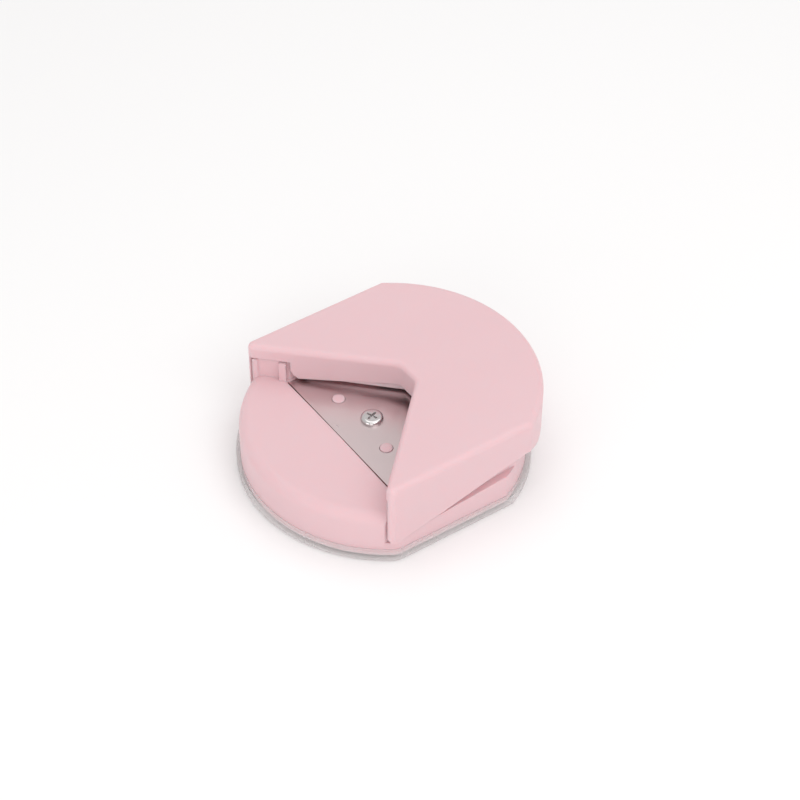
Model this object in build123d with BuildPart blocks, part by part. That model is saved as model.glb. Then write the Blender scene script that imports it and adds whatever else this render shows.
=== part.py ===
from build123d import *
from math import sqrt
import os

# Corner rounder for paper and card, R4 cut. Millimetres.
# X is right, +Y is the back (press end), -Y is the round nose, Z is up.
# The origin is on the underside of the tray, at the centre of the plan circle.

# Driving dimensions: plan shape
plan_radius = 30.0          # round plan of tray and lever
tray_half_width = 25.9
tray_back_radius = 28.4
lever_half_width = 25.6
base_nose_radius = 29.2
base_back_radius = 27.3
base_flank_half_width = 25.2  # lower sides of the base, nearly flush with the lever
base_half_width = 23.8      # upper sides, inside the lever
flank_corner_radius = 3.4   # where the flanks meet the nose
wall = 1.5                  # moulded wall of the base

# Driving dimensions: levels
tray_floor = 1.0
tray_height = 2.6
base_bottom = tray_floor
deck_peak_z = 11.55         # the nose deck is a shallow cone, highest at the plan centre
nose_edge_z = 10.75         # and lowest at the nose
bed_z = 10.85               # level of the die plate and the guide block seat
side_wall_top = 12.4
upright_top = 15.25
lever_front_z = 18.6        # lever top at the front of the arms
lever_front_y = -16.0
lever_tilt = 1.28           # degrees, rising to the back
lever_roof = 1.4
skirt = 1.3                 # outer wall of the lever
notch_wall = 0.8            # thinner wall round the notch

# Driving dimensions: the 90 degree notch. Its walls are the lines |x| + y = tip.
notch_tip = 7.26            # outer face of the lever wall
notch_flat = 4.6            # y of the flat across the apex
lip_tip = 8.9               # front face of the fixed guide block
lip_flat = 6.0
paper_tip = 11.2            # paper edges stop here
slot_height = 0.55
slot_top = bed_z + slot_height
root2 = sqrt(2)

# Driving dimensions: cutting parts
cut_radius = 4.0
punch_half_width = 4.4
punch_front = paper_tip - punch_half_width   # front corners of the blade
punch_back = 14.0
die_clearance = 0.03
die_thickness = 1.1
bed_floor = 1.3             # left in the base below the die plate
plate_front_y = -11.8
plate_front_gap = 0.23      # wider gap in front of the plate, to lift it out by
plate_back_y = 15.5
plate_half_width = 18.1
plate_side_tip = 12.1       # its 45 degree sides are the lines |x| + y = plate_side_tip
guide_plate_thickness = 0.8
guide_plate_half_width = 7.4
guide_plate_back = 15.3
guide_plate_setback = 0.8   # behind the lip of the guide block
guide_plate_top = slot_top + guide_plate_thickness
punch_tip_z = 12.0
carrier_bottom = 15.6
carrier_thickness = 1.3
carrier_half_width = 13.8
carrier_front = 6.9
carrier_back = 15.4

# Driving dimensions: hinge, springs, fasteners
hinge_y = -10.0
hinge_z = 11.5
hinge_pin_radius = 1.0
running_clearance = 0.05
spring_x = 9.9
spring_y = 11.4
spring_radius = 1.6         # to the wire centre
spring_wire = 0.4
spring_turns = 5
spring_seat_z = 8.7
spring_well_radius = 2.1
plate_screw_y = -3.75
stake_x = 8.4
stake_y = -6.05
screw_radius = 1.1
block_screw_x = 16.6
block_screw_y = 9.0
block_screw_depth = 2.0     # into the guide block
leg_thickness = 1.2         # guide legs of the carrier
leg_depth = 4.0
leg_length = 3.6
leg_gap = 0.2
leg_x = carrier_half_width - leg_thickness / 2
fit_gap = 0.02              # assembly gap between touching parts
root_overlap = 0.5          # how far bosses run into the floor they stand on

# Left and right copies of features
spring_places = [(spring_x, spring_y), (-spring_x, spring_y)]
leg_places = [(leg_x, spring_y), (-leg_x, spring_y)]
stake_places = [(stake_x, stake_y), (-stake_x, stake_y)]
block_screw_places = [(block_screw_x, block_screw_y), (-block_screw_x, block_screw_y)]


def plan_outline(front_radius, back_radius, half_width):
    """Add the plan shape to the open sketch: nose arc, parallel sides, back arc."""
    Circle(front_radius)
    with Locations((0, plan_radius)):
        Rectangle(4 * plan_radius, 2 * plan_radius, mode=Mode.SUBTRACT)
    Circle(back_radius)
    Rectangle(2 * half_width, 4 * plan_radius, mode=Mode.INTERSECT)


def notch_area(tip, flat, mode=Mode.ADD):
    """Open V in front of the lines |x| + y = tip, cut flat at the apex."""
    reach = 2 * plan_radius
    half_flat = tip - flat
    right = [(tip + reach, -reach), (half_flat, flat)]
    left = [(-half_flat, flat), (-tip - reach, -reach)]
    Polygon(*(right + left), align=None, mode=mode)


def punch_outline(grow=0.0):
    """Add the blade outline: the R4 hollow front edge and a straight back."""
    side = punch_half_width + grow
    shoulder = paper_tip - grow * root2
    centre_y = paper_tip - cut_radius * root2
    tangent_x = cut_radius / root2
    tangent_y = centre_y + tangent_x
    back = punch_back + grow
    Polygon(
        (side, shoulder - side), (side, back), (-side, back), (-side, shoulder - side),
        (-tangent_x, tangent_y), (tangent_x, tangent_y), align=None,
    )
    with Locations((0, centre_y)):
        Circle(cut_radius - grow, mode=Mode.SUBTRACT)


def plate_outline(grow=0.0, front_gap=0.0):
    """Add the die plate outline: straight front edge, 45 degree sides, narrow tail."""
    front = plate_front_y + front_gap - grow
    ear = plate_half_width + grow
    tail = guide_plate_half_width + grow
    tail_end = plate_back_y + grow
    side_tip = plate_side_tip + grow * root2
    right = [(ear, front), (ear, side_tip - ear), (tail, side_tip - tail), (tail, tail_end)]
    left = [(-x, y) for x, y in reversed(right)]
    Polygon(*(right + left), align=None)


def guide_plate_outline(grow=0.0):
    """Add the steel guide plate outline: it follows the notch behind the guide block lip."""
    side = guide_plate_half_width + grow
    tip = lip_tip + guide_plate_setback - grow * root2
    flat = lip_flat + guide_plate_setback - grow
    back = guide_plate_back + grow
    right = [(tip - flat, flat), (side, tip - side), (side, back)]
    left = [(-x, y) for x, y in reversed(right)]
    Polygon(*(right + left), align=None)


# ---- bottom tray: clear cap round the foot of the base, keeps the cut corners ----
tray_front_corner = 4.0
tray_back_corner = 1.0
tray_chamfer = 0.3
with BuildPart() as bottom_tray:
    with BuildSketch():
        plan_outline(plan_radius, tray_back_radius, tray_half_width)
        fillet(vertices().group_by(Axis.Y)[0], radius=tray_front_corner)
        fillet(vertices().group_by(Axis.Y)[-1], radius=tray_back_corner)
    extrude(amount=tray_height)
    chamfer(faces().sort_by(Axis.Z)[0].edges(), length=tray_chamfer)
    with BuildSketch(Plane.XY.offset(tray_floor)):
        plan_outline(
            base_nose_radius + running_clearance,
            base_back_radius + running_clearance,
            base_flank_half_width + running_clearance,
        )
        fillet(vertices().group_by(Axis.Y)[0], radius=flank_corner_radius)
    extrude(amount=tray_height, mode=Mode.SUBTRACT)
bottom_tray.part.label = "bottom_tray"

# ---- base housing: crowned nose, bed for the cutting parts, hinge uprights ----
nose_edge_radius = 2.3
flank_front_z = 4.25        # top edge of the flanks, front to back
flank_knee_y = -9.0
flank_knee_z = 6.0
flank_back_z = 8.1
rise_end_y = 14.5           # where the rise of flanks and lever skirts ends
cavity_roof = bed_z - die_thickness - bed_floor
stake_radius = 1.25
stake_proud = 0.12
plate_pocket_gap = 0.12
plate_hole_gap = 0.1
screw_boss_radius = 3.0
screw_boss_bottom = 5.5
plate_screw_end = 6.2
spring_boss_radius = 3.3
spring_well_floor = 1.2
chip_passage_gap = 1.0      # round the punch, below the die plate
screw_clearance = 0.15
ledge_bottom = 11.4
ledge_half_width = 6.0
ledge_reach = 1.0           # how far the ledge stands out of the back wall
upright_inner_x = 18.7
upright_back_y = -8.0
upright_front_tip = notch_tip + 0.6         # recessed front face of each arm upright
outer_edge_width = 0.7
outer_edge_front_y = -16.6
outer_edge_setback = 0.1
post_x = 19.3                               # guide posts at the mouth of the notch
post_width = 1.4
post_depth = 3.0
post_proud = 0.55                           # they stand in front of the notch wall
hinge_pocket_x = 20.8
hinge_pocket_roof = 1.2
hinge_pocket_front = hinge_y - 1.4
hinge_pocket_back = hinge_y + 4.4

with BuildSketch() as base_cavity_plan:
    plan_outline(base_nose_radius - wall, base_back_radius - wall, base_half_width - wall)

with BuildPart() as base_flanks:
    with BuildSketch(Plane.XY.offset(base_bottom)):
        plan_outline(base_nose_radius, base_back_radius, base_flank_half_width)
        fillet(vertices().group_by(Axis.Y)[0], radius=flank_corner_radius)
    extrude(amount=flank_back_z - base_bottom)
    with BuildSketch(Plane.YZ):
        Polygon(
            (-2 * plan_radius, flank_front_z), (lever_front_y, flank_front_z),
            (flank_knee_y, flank_knee_z), (rise_end_y, flank_back_z),
            (rise_end_y, 2 * plan_radius), (-2 * plan_radius, 2 * plan_radius), align=None,
        )
    extrude(amount=plan_radius, both=True, mode=Mode.SUBTRACT)

with BuildPart() as base_housing:
    # crowned nose with a soft upper edge, turned about Z and kept in front of the plate line
    with BuildSketch(Plane.XZ):
        with BuildLine():
            Polyline(
                (0, deck_peak_z), (0, base_bottom), (base_nose_radius, base_bottom),
                (base_nose_radius, nose_edge_z), (0, deck_peak_z),
            )
        make_face()
        fillet(vertices().sort_by(Axis.Y)[-2], radius=nose_edge_radius)
    revolve(axis=Axis.Z)
    nose_length = base_nose_radius + plate_front_y
    with Locations((0, plate_front_y - nose_length / 2, 0)):
        Box(2 * base_half_width, nose_length, 2 * plan_radius, mode=Mode.INTERSECT)

    # lower flanks: their top edge stays below the skirts of the lever, at rest and pressed
    add(base_flanks.part)

    # side and back walls that stand up inside the lever, and the flat bed between them
    with BuildSketch(Plane.XY.offset(base_bottom)):
        plan_outline(base_nose_radius, base_back_radius, base_half_width)
        add(base_cavity_plan.sketch, mode=Mode.SUBTRACT)
        notch_area(upright_front_tip, notch_flat, mode=Mode.SUBTRACT)
    extrude(amount=side_wall_top - base_bottom)
    with BuildSketch(Plane.XY.offset(cavity_roof)):
        add(base_cavity_plan.sketch)
        with Locations((0, plate_front_y - plan_radius)):
            Rectangle(4 * plan_radius, 2 * plan_radius, mode=Mode.SUBTRACT)
    extrude(amount=bed_z - cavity_roof)

    # ledge behind the back wall, the up-stop of the lever
    with BuildSketch(Plane.XY.offset(ledge_bottom)):
        Circle(base_back_radius + ledge_reach)
        Circle(base_back_radius - wall / 2, mode=Mode.SUBTRACT)
        with Locations((0, plan_radius)):
            Rectangle(2 * ledge_half_width, 2 * plan_radius, mode=Mode.INTERSECT)
    extrude(amount=side_wall_top - ledge_bottom)

    # arm uprights: recessed front face, thin outer edge and a proud guide post
    with BuildSketch(Plane.XY.offset(base_bottom)):
        for side in (-1, 1):
            middle_x = side * (upright_inner_x + base_half_width) / 2
            with Locations((middle_x, (lever_front_y + upright_back_y) / 2)):
                Rectangle(base_half_width - upright_inner_x, upright_back_y - lever_front_y)
        notch_area(upright_front_tip, notch_flat, mode=Mode.SUBTRACT)
    extrude(amount=upright_top - base_bottom)
    with BuildSketch(Plane.XY.offset(base_bottom)):
        for side in (-1, 1):
            middle_x = side * (base_half_width - outer_edge_width / 2)
            with Locations((middle_x, (outer_edge_front_y + upright_back_y) / 2)):
                Rectangle(outer_edge_width, upright_back_y - outer_edge_front_y)
        notch_area(notch_tip + outer_edge_setback, notch_flat, mode=Mode.SUBTRACT)
    extrude(amount=upright_top - base_bottom)
    with BuildSketch(Plane.XY.offset(cavity_roof)):
        shift = (post_depth / 2 - post_proud) / root2
        for side in (-1, 1):
            place = (side * (post_x + shift), notch_tip - post_x + shift, 0)
            with Locations(Location(place, (0, 0, 45 * side))):
                Rectangle(post_depth, post_width)
    extrude(amount=upright_top - cavity_roof)

    # hollow inside
    with BuildSketch(Plane.XY.offset(base_bottom)):
        add(base_cavity_plan.sketch)
    extrude(amount=cavity_roof - base_bottom, mode=Mode.SUBTRACT)

    # bosses below the bed for the plate screw and the springs
    with BuildSketch(Plane.XY.offset(screw_boss_bottom)):
        with Locations((0, plate_screw_y)):
            Circle(screw_boss_radius)
    extrude(amount=cavity_roof + root_overlap - screw_boss_bottom)
    spring_boss_bottom = spring_seat_z - spring_well_floor
    with BuildSketch(Plane.XY.offset(spring_boss_bottom)):
        with Locations(*spring_places):
            Circle(spring_boss_radius)
    extrude(amount=cavity_roof + root_overlap - spring_boss_bottom)

    # pocket for the die plate, with the two heat stakes left standing
    with BuildSketch(Plane.XY.offset(bed_z - die_thickness)):
        plate_outline(grow=plate_pocket_gap)
    extrude(amount=2 * die_thickness, mode=Mode.SUBTRACT)
    with BuildSketch(Plane.XY.offset(cavity_roof + root_overlap)):
        with Locations(*stake_places):
            Circle(stake_radius)
    extrude(amount=bed_z + stake_proud - cavity_roof - root_overlap)

    # chip passage, screw holes, spring wells and windows for the carrier legs
    with BuildSketch(Plane.XY.offset(base_bottom)):
        with Locations((0, (punch_front + punch_back) / 2)):
            Rectangle(
                2 * (punch_half_width + chip_passage_gap),
                punch_back - punch_front + 2 * chip_passage_gap,
            )
        with Locations((0, plate_screw_y)):
            Circle(screw_radius + fit_gap)
        with Locations(*block_screw_places):
            Circle(screw_radius + screw_clearance)
    extrude(amount=2 * upright_top, mode=Mode.SUBTRACT)
    with BuildSketch(Plane.XY.offset(spring_seat_z)):
        with Locations(*spring_places):
            Circle(spring_well_radius)
    extrude(amount=upright_top, mode=Mode.SUBTRACT)
    with BuildSketch(Plane.XY.offset(spring_boss_bottom)):
        with Locations(*leg_places):
            Rectangle(leg_thickness + 2 * leg_gap, leg_depth + 2 * leg_gap)
    extrude(amount=upright_top, mode=Mode.SUBTRACT)

    # pockets inside the uprights for the pin heads, and the hinge bores
    with BuildSketch(Plane.XY.offset(base_bottom)):
        pocket_width = base_half_width - wall - hinge_pocket_x
        for side in (-1, 1):
            pocket_middle = side * (hinge_pocket_x + pocket_width / 2)
            with Locations((pocket_middle, (hinge_pocket_front + hinge_pocket_back) / 2)):
                Rectangle(pocket_width, hinge_pocket_back - hinge_pocket_front)
    extrude(amount=upright_top - hinge_pocket_roof - base_bottom, mode=Mode.SUBTRACT)
    bore_start_x = hinge_pocket_x + 1
    for side in (-1, 1):
        with BuildSketch(Plane.YZ.offset(side * bore_start_x)):
            with Locations((hinge_y, hinge_z)):
                Circle(hinge_pin_radius + running_clearance)
        extrude(amount=side * (base_half_width + 1 - bore_start_x), mode=Mode.SUBTRACT)
base_housing.part.label = "base_housing"

# ---- die plate: steel, with the cutting opening ----
with BuildPart() as die_plate:
    with BuildSketch(Plane.XY.offset(bed_z - die_thickness)):
        plate_outline(front_gap=plate_front_gap)
    extrude(amount=die_thickness)
    with BuildSketch(Plane.XY.offset(bed_z - die_thickness)):
        punch_outline(grow=die_clearance)
        with Locations((0, plate_screw_y)):
            Circle(screw_radius + plate_hole_gap)
        with Locations(*stake_places):
            Circle(stake_radius + plate_hole_gap)
    extrude(amount=die_thickness, mode=Mode.SUBTRACT)
die_plate.part.label = "die_plate"

# ---- plate screw: cross-recessed pan head ----
plate_screw_head_radius = 2.25
plate_screw_head_height = 0.85
plate_screw_head_round = 0.6
plate_recess_length = 2.4
plate_recess_width = 0.5
plate_recess_depth = 0.6
plate_recess_angle = 20
with BuildPart() as plate_screw:
    with BuildSketch(Plane.XY.offset(bed_z)):
        with Locations((0, plate_screw_y)):
            Circle(plate_screw_head_radius)
    extrude(amount=plate_screw_head_height)
    fillet(faces().sort_by(Axis.Z)[-1].edges(), radius=plate_screw_head_round)
    with BuildSketch(Plane.XY.offset(bed_z + plate_screw_head_height)):
        with Locations(Location((0, plate_screw_y, 0), (0, 0, plate_recess_angle))):
            Rectangle(plate_recess_length, plate_recess_width)
            Rectangle(plate_recess_width, plate_recess_length)
    extrude(amount=-plate_recess_depth, taper=12, mode=Mode.SUBTRACT)
    with BuildSketch(Plane.XY.offset(plate_screw_end)):
        with Locations((0, plate_screw_y)):
            Circle(screw_radius)
    extrude(amount=bed_z - plate_screw_end)
plate_screw.part.label = "plate_screw"

# ---- guide block: lip above the paper slot, paper stops, pocket for the carrier ----
block_top = 13.7
lip_top = 12.9
block_half_width = 19.5
block_front = -7.5
block_back = 17.5
block_corner_radius = 1.5
lip_land = 1.0              # low step in front of the full height of the block
paper_corner_flat = 0.3
pocket_front = carrier_front - 1.0
pocket_back = carrier_back + 0.6
pocket_side_gap = 0.2
punch_relief = 0.3
with BuildPart() as guide_block:
    with BuildSketch(Plane.XY.offset(bed_z)):
        with Locations((0, (block_front + block_back) / 2)):
            RectangleRounded(
                2 * block_half_width, block_back - block_front, radius=block_corner_radius,
            )
        notch_area(lip_tip, lip_flat, mode=Mode.SUBTRACT)
    extrude(amount=block_top - bed_z)
    with BuildSketch(Plane.XY.offset(lip_top)):
        notch_area(lip_tip + lip_land, lip_flat + lip_land)
    extrude(amount=block_top, mode=Mode.SUBTRACT)
    # paper slot, stopped at the 90 degree corner
    with BuildSketch(Plane.XY.offset(bed_z)):
        notch_area(paper_tip, paper_tip - paper_corner_flat)
    extrude(amount=slot_height, mode=Mode.SUBTRACT)
    # seat for the guide plate and pocket for the carrier above it
    with BuildSketch(Plane.XY.offset(slot_top)):
        guide_plate_outline(grow=running_clearance)
    extrude(amount=block_top, mode=Mode.SUBTRACT)
    with BuildSketch(Plane.XY.offset(guide_plate_top)):
        with Locations((0, (pocket_front + pocket_back) / 2)):
            Rectangle(2 * (carrier_half_width + pocket_side_gap), pocket_back - pocket_front)
    extrude(amount=block_top, mode=Mode.SUBTRACT)
    # openings for punch, springs, legs and screws
    with BuildSketch(Plane.XY.offset(bed_z)):
        punch_outline(grow=punch_relief)
        with Locations(*spring_places):
            Circle(spring_well_radius)
        with Locations(*leg_places):
            Rectangle(leg_thickness + 2 * leg_gap, leg_depth + 2 * leg_gap)
    extrude(amount=block_top, mode=Mode.SUBTRACT)
    with BuildSketch(Plane.XY.offset(bed_z)):
        with Locations(*block_screw_places):
            Circle(screw_radius + fit_gap)
    extrude(amount=block_screw_depth, mode=Mode.SUBTRACT)
guide_block.part.label = "guide_block"

# ---- guide plate: steel, keeps the punch square above the paper ----
with BuildPart() as guide_plate:
    with BuildSketch(Plane.XY.offset(slot_top)):
        guide_plate_outline()
    extrude(amount=guide_plate_thickness)
    with BuildSketch(Plane.XY.offset(slot_top)):
        punch_outline(grow=die_clearance)
    extrude(amount=guide_plate_thickness, mode=Mode.SUBTRACT)
guide_plate.part.label = "guide_plate"

# ---- guide block screws: a pair driven up from below the bed ----
block_screw_head_radius = 2.0
block_screw_head_height = 1.3
block_screw_head_round = 0.5
block_screw_end_gap = 0.1
with BuildPart() as guide_block_screws:
    with BuildSketch(Plane.XY.offset(cavity_roof - block_screw_head_height)):
        with Locations(*block_screw_places):
            Circle(block_screw_head_radius)
    extrude(amount=block_screw_head_height)
    fillet(faces().group_by(Axis.Z)[0].edges(), radius=block_screw_head_round)
    with BuildSketch(Plane.XY.offset(cavity_roof)):
        with Locations(*block_screw_places):
            Circle(screw_radius)
    extrude(amount=bed_z + block_screw_depth - block_screw_end_gap - cavity_roof)
guide_block_screws.part.label = "guide_block_screws"

# ---- punch: steel blade with the R4 hollow cutting edge ----
punch_screw_y = 11.9
punch_screw_radius = 0.9
punch_screw_depth = 2.4     # into the back of the blade
with BuildPart() as punch:
    with BuildSketch(Plane.XY.offset(punch_tip_z)):
        punch_outline()
    extrude(amount=carrier_bottom - punch_tip_z)
    with BuildSketch(Plane.XY.offset(carrier_bottom)):
        with Locations((0, punch_screw_y)):
            Circle(punch_screw_radius + fit_gap)
    extrude(amount=-punch_screw_depth - 0.1, mode=Mode.SUBTRACT)
punch.part.label = "punch"

# ---- punch carrier: plastic slider with spring pegs and guide legs ----
carrier_top = carrier_bottom + carrier_thickness
carrier_corner_radius = 1.2
spring_peg_radius = 1.0
spring_peg_length = 2.2
countersink_radius = 1.8
with BuildPart() as punch_carrier:
    with BuildSketch(Plane.XY.offset(carrier_bottom)):
        with Locations((0, (carrier_front + carrier_back) / 2)):
            RectangleRounded(
                2 * carrier_half_width, carrier_back - carrier_front,
                radius=carrier_corner_radius,
            )
    extrude(amount=carrier_thickness)
    with BuildSketch(Plane.XY.offset(carrier_bottom)):
        with Locations(*spring_places):
            Circle(spring_peg_radius)
    extrude(amount=-spring_peg_length)
    with BuildSketch(Plane.XY.offset(carrier_bottom)):
        with Locations(*leg_places):
            Rectangle(leg_thickness, leg_depth)
    extrude(amount=-leg_length)
    with Locations((0, punch_screw_y, carrier_top)):
        CounterSinkHole(punch_screw_radius + 0.1, countersink_radius, counter_sink_angle=90)
punch_carrier.part.label = "punch_carrier"

# ---- punch screw: countersunk, holds the punch to the carrier ----
punch_screw_head_radius = 1.7
punch_screw_head_height = 0.8
punch_screw_neck = 0.7      # depth at which the shank starts inside the head
punch_recess_length = 1.6
punch_recess_width = 0.35
punch_recess_depth = 0.45
with BuildPart() as punch_screw:
    with BuildSketch(Plane.XY.offset(carrier_top - fit_gap)):
        with Locations((0, punch_screw_y)):
            Circle(punch_screw_head_radius)
    extrude(amount=-punch_screw_head_height, taper=45)
    with BuildSketch(Plane.XY.offset(carrier_top - punch_screw_neck)):
        with Locations((0, punch_screw_y)):
            Circle(punch_screw_radius)
    extrude(amount=carrier_bottom - punch_screw_depth - carrier_top + punch_screw_neck)
    with BuildSketch(Plane.XY.offset(carrier_top - fit_gap)):
        with Locations((0, punch_screw_y)):
            Rectangle(punch_recess_length, punch_recess_width)
            Rectangle(punch_recess_width, punch_recess_length)
    extrude(amount=-punch_recess_depth, mode=Mode.SUBTRACT)
punch_screw.part.label = "punch_screw"

# ---- return springs: two small compression coils under the carrier ----
spring_parts = {}
for name, x in (("return_spring_left", -spring_x), ("return_spring_right", spring_x)):
    coil_bottom = spring_seat_z + spring_wire / 2 + fit_gap
    coil_height = carrier_bottom - spring_wire / 2 - fit_gap - coil_bottom
    with BuildPart() as spring:
        with BuildLine() as coil:
            Helix(
                pitch=coil_height / spring_turns, height=coil_height, radius=spring_radius,
                center=(x, spring_y, coil_bottom),
            )
        with BuildSketch(Plane(origin=coil.line @ 0, z_dir=coil.line % 0)):
            Circle(spring_wire / 2)
        sweep(is_frenet=True)
    spring.part.label = name
    spring_parts[name] = spring.part

# ---- hinge pins: headed steel pins pressed into the lever, running in the base ----
pin_parts = {}
pin_head_x = hinge_pocket_x + 0.7   # room for the head to be pushed in
pin_head_step = 0.3
pin_bearing_x = base_half_width - wall
pin_end_x = lever_half_width - 0.4
for name, side in (("hinge_pin_left", -1), ("hinge_pin_right", 1)):
    with BuildPart() as hinge_pin:
        with BuildSketch(Plane.YZ.offset(side * pin_head_x)):
            with Locations((hinge_y, hinge_z)):
                Circle(hinge_pin_radius)
        extrude(amount=side * (pin_end_x - pin_head_x))
        with BuildSketch(Plane.YZ.offset(side * pin_head_x)):
            with Locations((hinge_y, hinge_z)):
                Circle(hinge_pin_radius + pin_head_step)
        extrude(amount=side * (pin_bearing_x - running_clearance - pin_head_x))
    hinge_pin.part.label = name
    pin_parts[name] = hinge_pin.part

# ---- press lever: inverted shell with a notch, hinged across the arms ----
lever_foot = 4.0
top_edge_radius = 1.15
corner_radius = 1.2         # upright edges at the arm ends and at the press end
apex_radius = 2.6
back_lip_z = 10.0
lip_step = 0.3              # small step where the rise ends at the press end
side_skirt_z = 4.37         # lower edge of the side skirts at lever_front_y
side_edge_slope = 0.25      # it rises to the back
skirt_corner_y = -16.6      # front lower corner of the side skirts, cut in two facets
skirt_corner_height = 1.4
notch_edge_z = 12.93        # lower edge of the notch wall at y = 0
notch_edge_slope = 0.13     # it rises to the apex
notch_edge_end_y = 8.0
notch_wall_end_x = 18.3
notch_corner_z = 13.7       # its outer lower corner, cut in two facets
arm_cap_bottom = 15.6
pusher_radius = 0.8
pusher_x = 3.0
pusher_length = 5.0
pusher_y = 10.0
pusher_z = 17.8
roof_rib_places = [(-11, 36), (0, 36), (11, 36)]
roof_rib_width = 1.0
roof_rib_length = 5.0
roof_rib_depth = 1.2
catch_gap = 0.2             # below the ledge of the base, at rest
catch_bottom = back_lip_z + 0.25
catch_reach = 2.05          # from the outside of the lever to the tip of the catch
hinge_boss_radius = 2.3
hinge_boss_gap = 0.15
hinge_boss_height = 0.6
press_fit = 0.005
lever_top = Location((0, lever_front_y, lever_front_z), (lever_tilt, 0, 0))
roof_plane = Plane(Location((0, lever_front_y, lever_front_z - lever_roof), (lever_tilt, 0, 0)))


def skirt_z(y):
    """Height of the side skirts' lower edge."""
    return side_skirt_z + side_edge_slope * (y - lever_front_y)


def notch_z(y):
    """Height of the notch wall's lower edge."""
    return notch_edge_z + notch_edge_slope * y


with BuildSketch() as lever_plan:
    plan_outline(plan_radius, plan_radius, lever_half_width)
    notch_area(notch_tip, notch_flat, mode=Mode.SUBTRACT)
    fillet(vertices().filter_by(lambda v: abs(v.X) < 5 and v.Y < 10), radius=apex_radius)
    fillet(vertices().group_by(Axis.Y)[0], radius=corner_radius)
    fillet(vertices().filter_by(lambda v: abs(v.X) > 25 and v.Y > 10), radius=corner_radius)

# plan of the hollow: full walls, thinned along the notch
with BuildSketch() as notch_hollow_plan:
    add(lever_plan.sketch)
    offset(amount=-notch_wall, mode=Mode.REPLACE)
    Rectangle(2 * notch_wall_end_x, 2 * pusher_y, mode=Mode.INTERSECT)
with BuildSketch() as lever_hollow_plan:
    add(lever_plan.sketch)
    offset(amount=-skirt, mode=Mode.REPLACE)
    add(notch_hollow_plan.sketch)

with BuildPart() as press_lever:
    with BuildSketch(Plane.XY.offset(lever_foot)):
        add(lever_plan.sketch)
    extrude(amount=2 * lever_front_z)
    with Locations(lever_top):
        Box(
            4 * plan_radius, 6 * plan_radius, 2 * plan_radius,
            align=(Align.CENTER, Align.CENTER, Align.MIN), mode=Mode.SUBTRACT,
        )
    top_edges = faces().sort_by(Axis.Z)[-1].edges()
    fillet(top_edges, radius=top_edge_radius)

    # hollow inside, under a roof of even thickness
    with BuildSketch(Plane.XY.offset(lever_foot)):
        add(lever_hollow_plan.sketch)
    hollow = extrude(amount=2 * lever_front_z, mode=Mode.PRIVATE)
    with BuildSketch(roof_plane):
        Rectangle(4 * plan_radius, 6 * plan_radius)
    above_roof = extrude(amount=2 * plan_radius, mode=Mode.PRIVATE)
    add(hollow - above_roof, mode=Mode.SUBTRACT)

    # lower edges: side skirts rise to the back, then drop to the lip at the press end
    with BuildSketch(Plane.YZ):
        corner_z = skirt_z(skirt_corner_y) + skirt_corner_height
        facet_y = skirt_corner_y + 0.4
        rise_end_z = skirt_z(rise_end_y)
        Polygon(
            (-plan_radius, 0), (-plan_radius, corner_z), (skirt_corner_y, corner_z),
            (facet_y, skirt_z(facet_y) + 0.5), (facet_y + 1.0, skirt_z(facet_y + 1.0)),
            (rise_end_y, rise_end_z), (rise_end_y + 1.5, rise_end_z),
            (rise_end_y + 5, back_lip_z + lip_step), (rise_end_y + 7.5, back_lip_z),
            (2 * plan_radius, back_lip_z), (2 * plan_radius, 0), align=None,
        )
    extrude(amount=plan_radius, both=True, mode=Mode.SUBTRACT)
    # the notch wall rises to the apex, and the arm ends are short caps over the uprights
    with BuildSketch(Plane.YZ):
        corner_y = notch_tip - notch_wall_end_x
        Polygon(
            (-plan_radius, 0), (-plan_radius, notch_corner_z), (corner_y, notch_corner_z),
            (corner_y + 0.45, notch_corner_z - 1.2), (corner_y + 1.2, notch_z(corner_y + 1.2)),
            (notch_edge_end_y, notch_z(notch_edge_end_y)), (notch_edge_end_y, 0), align=None,
        )
    extrude(amount=notch_wall_end_x, both=True, mode=Mode.SUBTRACT)
    with BuildSketch(Plane.XY):
        for side in (-1, 1):
            cap_middle = side * (notch_wall_end_x + lever_half_width - skirt) / 2
            with Locations((cap_middle, upright_back_y - plan_radius / 2)):
                Rectangle(lever_half_width - skirt - notch_wall_end_x, plan_radius)
    extrude(amount=arm_cap_bottom, mode=Mode.SUBTRACT)

    # pusher ribs with rounded ends above the carrier
    for side in (-1, 1):
        with BuildSketch(Plane.YZ.offset(side * pusher_x)):
            with Locations((pusher_y, pusher_z)):
                Circle(pusher_radius)
        extrude(amount=side * pusher_length)
    # shallow ribs under the roof at the press end
    with BuildSketch(roof_plane.offset(-roof_rib_depth)):
        with Locations(*roof_rib_places):
            Rectangle(roof_rib_width, roof_rib_length)
    extrude(amount=roof_rib_depth + root_overlap)
    # catches that meet the ledge of the base and stop the lever going up
    with BuildSketch(Plane.XY.offset(catch_bottom)):
        Circle(plan_radius - skirt / 2)
        Circle(plan_radius - catch_reach, mode=Mode.SUBTRACT)
        with Locations((0, plan_radius)):
            Rectangle(2 * (ledge_half_width - 1), 2 * plan_radius, mode=Mode.INTERSECT)
    extrude(amount=ledge_bottom - catch_gap - catch_bottom)
    # hinge bosses with blind holes for the pins
    for side in (-1, 1):
        with BuildSketch(Plane.YZ.offset(side * (base_half_width + hinge_boss_gap))):
            with Locations((hinge_y, hinge_z)):
                Circle(hinge_boss_radius)
        extrude(amount=side * hinge_boss_height)
        with BuildSketch(Plane.YZ.offset(side * base_half_width)):
            with Locations((hinge_y, hinge_z)):
                Circle(hinge_pin_radius + press_fit)
        extrude(amount=side * (pin_end_x - base_half_width), mode=Mode.SUBTRACT)
press_lever.part.label = "press_lever"

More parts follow.
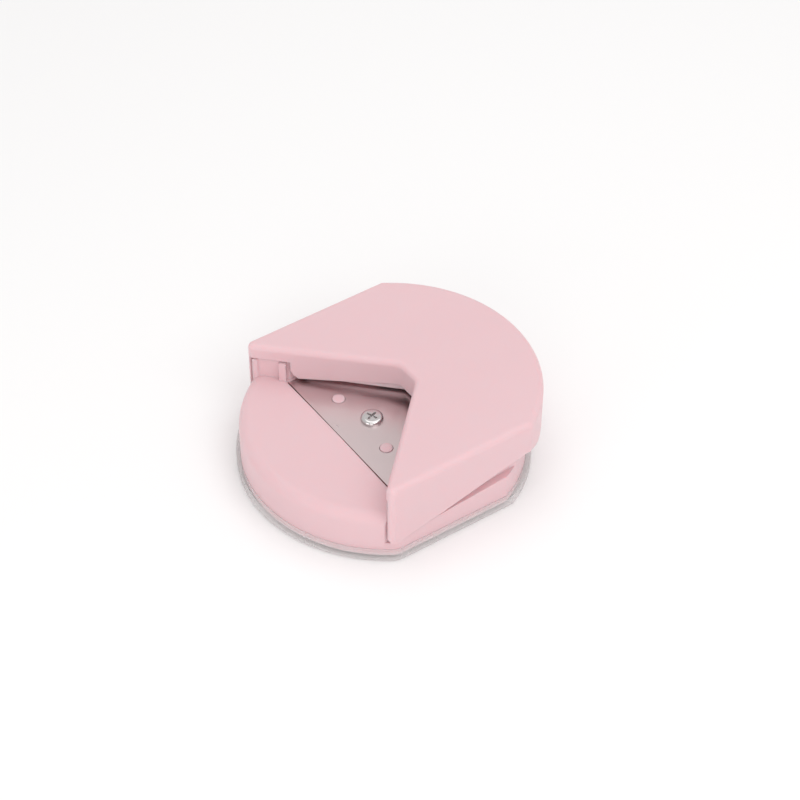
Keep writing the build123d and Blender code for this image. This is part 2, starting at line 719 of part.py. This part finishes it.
pieces = [
    bottom_tray.part, base_housing.part, die_plate.part, plate_screw.part, guide_block.part,
    guide_plate.part, guide_block_screws.part, punch.part, punch_carrier.part, punch_screw.part,
    press_lever.part, *spring_parts.values(), *pin_parts.values(),
]
os.makedirs("parts", exist_ok=True)
for piece in pieces:
    export_step(piece, f"parts/{piece.label}.step")
    print(piece.label, len(piece.solids()), round(piece.volume, 1), piece.bounding_box())
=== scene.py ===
import math

import bpy
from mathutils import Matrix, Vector


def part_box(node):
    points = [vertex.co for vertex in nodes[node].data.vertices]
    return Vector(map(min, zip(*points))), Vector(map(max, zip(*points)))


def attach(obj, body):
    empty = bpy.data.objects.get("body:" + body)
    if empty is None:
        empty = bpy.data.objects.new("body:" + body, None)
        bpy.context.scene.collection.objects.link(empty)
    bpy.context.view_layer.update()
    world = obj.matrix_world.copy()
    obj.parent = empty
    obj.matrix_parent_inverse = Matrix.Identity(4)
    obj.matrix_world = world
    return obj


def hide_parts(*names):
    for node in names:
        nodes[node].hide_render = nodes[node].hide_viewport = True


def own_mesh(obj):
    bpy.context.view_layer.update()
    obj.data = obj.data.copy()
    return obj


# Looks, light and camera for the corner rounder, in metres and in the frame of the CAD:
# X is right, +Y is the press end, -Y is the round nose, and the tray underside is at z = 0.

MM = 0.001

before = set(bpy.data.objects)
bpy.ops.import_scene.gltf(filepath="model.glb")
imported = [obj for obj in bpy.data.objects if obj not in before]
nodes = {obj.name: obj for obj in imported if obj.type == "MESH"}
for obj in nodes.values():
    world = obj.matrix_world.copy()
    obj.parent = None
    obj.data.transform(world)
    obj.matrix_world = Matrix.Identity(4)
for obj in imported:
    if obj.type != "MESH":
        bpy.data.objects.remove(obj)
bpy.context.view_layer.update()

# ---------------------------------------------------------------- materials
noise_low = 0.3             # most of a noise lies between these two
noise_high = 0.7
noise_roughness = 0.55
bevel_samples = 6
plastic_grain_depth = 0.04 * MM
steel_line_depth = 0.02 * MM

plastic_grain = 0.04        # strength of the spark-eroded grain
plastic_subsurface = 0.4
plastic_subsurface_radius = (1.6 * MM, 0.7 * MM, 0.7 * MM)   # red light travels furthest
plastic_roughness_swing = 0.03

tray_grain = 0.06
tray_edge = 0.25            # mm
tray_facing_blend = 0.35
tray_clear_tint = (0.97, 0.97, 0.97, 1)


def new_material(name):
    """An empty node material with its output node."""
    mat = bpy.data.materials.new(name)
    mat.use_nodes = True
    tree = mat.node_tree
    tree.nodes.clear()
    out = tree.nodes.new("ShaderNodeOutputMaterial")
    return mat, tree, out


def add_node(tree, kind, inputs=None, **settings):
    """A node with its settings and input values; a value can be another node's socket."""
    node = tree.nodes.new(kind)
    for key, value in settings.items():
        setattr(node, key, value)
    for key, value in (inputs or {}).items():
        if isinstance(value, bpy.types.NodeSocket):
            tree.links.new(value, node.inputs[key])
        else:
            node.inputs[key].default_value = value
    return node


def noise(tree, scale, detail, stretch=(1, 1, 1)):
    """Object-space noise, scale in features per metre."""
    coord = add_node(tree, "ShaderNodeTexCoord")
    mapping = add_node(
        tree, "ShaderNodeMapping",
        {"Vector": coord.outputs["Object"], "Scale": stretch},
    )
    texture = add_node(
        tree, "ShaderNodeTexNoise",
        {"Vector": mapping.outputs[0], "Scale": scale, "Detail": detail,
         "Roughness": noise_roughness},
    )
    return texture.outputs["Fac"]


def map_range(tree, value, from_low, from_high, to_low, to_high):
    """Maps from_low..from_high of a value to to_low..to_high, and clamps it."""
    node = add_node(
        tree, "ShaderNodeMapRange",
        {"Value": value, "From Min": from_low, "From Max": from_high,
         "To Min": to_low, "To Max": to_high},
    )
    return node.outputs["Result"]


def spread(tree, value, low, high):
    """Maps the middle of a noise to low..high."""
    return map_range(tree, value, noise_low, noise_high, low, high)


def mix_colours(tree, factor, first, second):
    """A colour that goes from first to second with the factor."""
    node = add_node(
        tree, "ShaderNodeMix", {"Factor": factor, "A": first, "B": second}, data_type="RGBA",
    )
    return node.outputs["Result"]


def relief(tree, height, strength, depth, edge):
    """A normal with rounded edges (edge in mm) and the height as fine relief."""
    rounded = add_node(tree, "ShaderNodeBevel", {"Radius": edge * MM}, samples=bevel_samples)
    bump = add_node(
        tree, "ShaderNodeBump",
        {"Strength": strength, "Distance": depth, "Height": height,
         "Normal": rounded.outputs[0]},
    )
    return bump.outputs[0]


def moulded_plastic(name, colour, deep, roughness, edge):
    """Satin moulded plastic: spark-eroded grain, faint flow tone, softened edges."""
    mat, tree, out = new_material(name)
    tone = noise(tree, 60, 4)
    flow = noise(tree, 25, 2, (1, 0.35, 1))
    grain = noise(tree, 9000, 2)
    shader = add_node(
        tree, "ShaderNodeBsdfPrincipled",
        {"Base Color": mix_colours(tree, spread(tree, flow, 0.0, 1.0), colour, deep),
         "Roughness": spread(tree, tone, roughness - plastic_roughness_swing,
                             roughness + plastic_roughness_swing),
         "IOR": 1.5, "Specular IOR Level": 0.42,
         "Normal": relief(tree, grain, plastic_grain, plastic_grain_depth, edge),
         "Subsurface Weight": plastic_subsurface,
         "Subsurface Radius": plastic_subsurface_radius, "Subsurface Scale": 1.0},
    )
    tree.links.new(shader.outputs[0], out.inputs["Surface"])
    return mat


def frosted_plastic(name, colour, outline_shade_colour):
    """Clear tray plastic: see-through face on, veiled at grazing angles, where painted shade
    turns its colour grey along the outline.
    """
    mat, tree, out = new_material(name)
    tone = noise(tree, 120, 3)
    grain = noise(tree, 7000, 2)
    normal = relief(tree, grain, tray_grain, plastic_grain_depth, tray_edge)
    layer = add_node(
        tree, "ShaderNodeLayerWeight", {"Blend": tray_facing_blend, "Normal": normal},
    )
    facing = layer.outputs["Facing"]
    # painted shade: towards grazing angles the colour goes to the dark grey of the tray's
    # outline shade
    outline_shade = map_range(tree, facing, 0.55, 0.95, 0.0, 1.0)
    veil = map_range(tree, facing, 0.0, 0.9, 0.08, 0.62)
    solid = add_node(
        tree, "ShaderNodeBsdfPrincipled",
        {"Base Color": mix_colours(tree, outline_shade, colour, outline_shade_colour), "IOR": 1.49,
         "Normal": normal, "Roughness": spread(tree, tone, 0.22, 0.32)},
    )
    clear = add_node(tree, "ShaderNodeBsdfTransparent", {"Color": tray_clear_tint})
    mix = add_node(tree, "ShaderNodeMixShader", {"Fac": veil})
    tree.links.new(clear.outputs[0], mix.inputs[1])
    tree.links.new(solid.outputs[0], mix.inputs[2])
    tree.links.new(mix.outputs[0], out.inputs["Surface"])
    return mat


def ground_steel(name, colour, roughness, stretch=(1, 1, 1), edge=0.08, anisotropy=0.4,
                 line_scale=2500, line_strength=0.10, streak=0.05):
    """Steel with fine grinding lines, long where stretch is small, and soft edge glints."""
    mat, tree, out = new_material(name)
    lines = noise(tree, line_scale, 3, stretch)
    smudge = noise(tree, 220, 4)
    rough = add_node(
        tree, "ShaderNodeMath",
        {0: spread(tree, lines, roughness - streak, roughness + streak),
         1: spread(tree, smudge, -0.03, 0.05)},
        operation="ADD",
    )
    shader = add_node(
        tree, "ShaderNodeBsdfPrincipled",
        {"Base Color": colour, "Metallic": 1.0, "Roughness": rough.outputs[0],
         "Anisotropic": anisotropy,
         "Normal": relief(tree, lines, line_strength, steel_line_depth, edge)},
    )
    tree.links.new(shader.outputs[0], out.inputs["Surface"])
    return mat


pink = moulded_plastic(
    "pink_abs_satin", (0.78, 0.545, 0.575, 1), (0.765, 0.525, 0.555, 1), 0.46, edge=0.30,
)
# Lighter copy of the housing pink for the guide block: painted light that brightens its
# face, which sits in shade under the lever's V wall.
pink_painted_light = moulded_plastic(
    "pink_abs_inner", (0.93, 0.69, 0.72, 1), (0.91, 0.67, 0.70, 1), 0.5, edge=0.12,
)
acetal = moulded_plastic(
    "natural_acetal", (0.80, 0.79, 0.76, 1), (0.77, 0.76, 0.73, 1), 0.38, edge=0.12,
)
# The second colour is painted shade for the tray's dark outline.
tray_plastic = frosted_plastic("frosted_tray", (0.93, 0.89, 0.89, 1), (0.30, 0.27, 0.27, 1))
# The die plate is steel grey with a pink cast that is painted reflection of the pink housing
# around it.
plate_steel = ground_steel(
    "die_plate_steel", (0.65, 0.55, 0.555, 1), 0.31, stretch=(0.03, 1, 1),
    line_scale=700, line_strength=0.003, streak=0.02,
)
blade_steel = ground_steel("blade_steel", (0.62, 0.62, 0.63, 1), 0.25, stretch=(1, 1, 0.03))
screw_steel = ground_steel(
    "screw_plating", (0.68, 0.66, 0.66, 1), 0.16, edge=0.06, anisotropy=0.0, line_scale=900,
)
spring_steel = ground_steel(
    "spring_wire", (0.55, 0.55, 0.57, 1), 0.28, stretch=(1, 1, 0.1), edge=0.02,
    anisotropy=0.2, line_scale=1800,
)

looks = {
    "base_housing": pink, "press_lever": pink, "guide_block": pink_painted_light,
    "bottom_tray": tray_plastic, "die_plate": plate_steel, "guide_plate": blade_steel,
    "punch": blade_steel, "plate_screw": screw_steel, "guide_block_screws": screw_steel,
    "punch_screw": screw_steel, "hinge_pin_left": screw_steel,
    "hinge_pin_right": screw_steel, "punch_carrier": acetal,
}
for node_name, mat in looks.items():
    for slot in nodes[node_name].material_slots:
        slot.material = mat

# ---------------------------------------------------------------- return springs
wire_radius = 0.2 * MM
open_turns = 5.0
closed_turns = 1.0          # at each end, lying on each other
closed_pitch = 2.05 * wire_radius
points_per_turn = 36


def coil_spring(name, node_name):
    """A compression coil with closed ends that fills the CAD node's box."""
    low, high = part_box(node_name)
    x = (low[0] + high[0]) / 2
    y = (low[1] + high[1]) / 2
    radius = (high[0] - low[0]) / 2 - wire_radius
    z0 = low[2] + wire_radius
    z1 = high[2] - wire_radius
    closed_height = closed_pitch * closed_turns
    total = open_turns + 2 * closed_turns
    steps = int(total * points_per_turn)
    curve = bpy.data.curves.new(name, "CURVE")
    curve.dimensions = "3D"
    curve.bevel_depth = wire_radius
    curve.bevel_resolution = 4
    curve.use_fill_caps = True
    spline = curve.splines.new("POLY")
    spline.points.add(steps)
    for i in range(steps + 1):
        turn = total * i / steps
        if turn < closed_turns:
            z = z0 + closed_pitch * turn
        elif turn > total - closed_turns:
            z = z1 - closed_pitch * (total - turn)
        else:
            run = (turn - closed_turns) / open_turns
            z = z0 + closed_height + run * (z1 - z0 - 2 * closed_height)
        angle = 2 * math.pi * turn
        spline.points[i].co = (
            x + radius * math.cos(angle), y + radius * math.sin(angle), z, 1,
        )
    obj = bpy.data.objects.new(name, curve)
    bpy.context.scene.collection.objects.link(obj)
    bpy.context.view_layer.objects.active = obj
    obj.select_set(True)
    bpy.ops.object.convert(target="MESH")
    obj.select_set(False)
    for polygon in obj.data.polygons:
        polygon.use_smooth = True
    obj.data.materials.append(spring_steel)
    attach(obj, "base")
    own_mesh(obj)
    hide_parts(node_name)


coil_spring("coil_left", "return_spring_left")
coil_spring("coil_right", "return_spring_right")

# ---------------------------------------------------------------- studio
floor_size = 6.0
floor_drop = 0.05 * MM      # keeps the floor clear of the tray underside
floor_colour = (0.95, 0.95, 0.95, 1)
world_colour = (1.0, 0.985, 0.98, 1)
world_strength = 0.72

floor_mat, floor_tree, floor_out = new_material("studio_floor")
floor_shader = add_node(
    floor_tree, "ShaderNodeBsdfPrincipled",
    {"Base Color": floor_colour, "Roughness": 0.9, "Specular IOR Level": 0.1},
)
floor_tree.links.new(floor_shader.outputs[0], floor_out.inputs["Surface"])
bpy.ops.mesh.primitive_plane_add(size=floor_size, location=(0, 0, -floor_drop))
floor = bpy.context.object
floor.name = "studio_floor"
floor.data.materials.append(floor_mat)


def area_light(name, place, target_height, size, power):
    """A square soft box aimed at a point on the object's axis."""
    data = bpy.data.lights.new(name, "AREA")
    data.shape = "SQUARE"
    data.size = size
    data.energy = power
    light = bpy.data.objects.new(name, data)
    light.location = place
    aim = Vector((0, 0, target_height)) - Vector(place)
    light.rotation_euler = aim.to_track_quat("-Z", "Y").to_euler()
    bpy.context.scene.collection.objects.link(light)


area_light("key_soft_box", (0.35, 0.05, 0.42), 0.01, size=0.35, power=0.57)
area_light("top_soft_box", (-0.05, 0.10, 0.60), 0.01, size=0.6, power=0.90)
area_light("low_front_fill", (0.12, -0.48, 0.12), 0.012, size=0.2, power=0.22)
area_light("notch_fill", (0.32, -0.25, 0.19), 0.012, size=0.2, power=0.16)

world = bpy.data.worlds.new("studio")
world.use_nodes = True
background = world.node_tree.nodes["Background"]
background.inputs["Color"].default_value = world_colour
background.inputs["Strength"].default_value = world_strength
bpy.context.scene.world = world
bpy.context.scene.view_settings.view_transform = "Standard"
bpy.context.scene.view_settings.look = "None"

# ---------------------------------------------------------------- camera
# Fitted to the outline of the object in the photograph.
camera_azimuth = math.radians(55.9)
camera_elevation = math.radians(43.05)
camera_distance = 0.4
aim_point = Vector((0, 0, 0.009))
sensor_width = 36           # mm
focal_length = 91.8         # mm
shift_x = 0.0151
shift_y = 0.0228
clip_start = 0.01

towards_camera = Vector((
    math.sin(camera_azimuth) * math.cos(camera_elevation),
    -math.cos(camera_azimuth) * math.cos(camera_elevation),
    math.sin(camera_elevation),
))
cam_data = bpy.data.cameras.new("camera")
cam_data.sensor_width = sensor_width
cam_data.lens = focal_length
cam_data.shift_x = shift_x
cam_data.shift_y = shift_y
cam_data.clip_start = clip_start
cam = bpy.data.objects.new("camera", cam_data)
cam.location = aim_point + towards_camera * camera_distance
cam.rotation_euler = (-towards_camera).to_track_quat("-Z", "Y").to_euler()
bpy.context.scene.collection.objects.link(cam)
bpy.context.scene.camera = cam
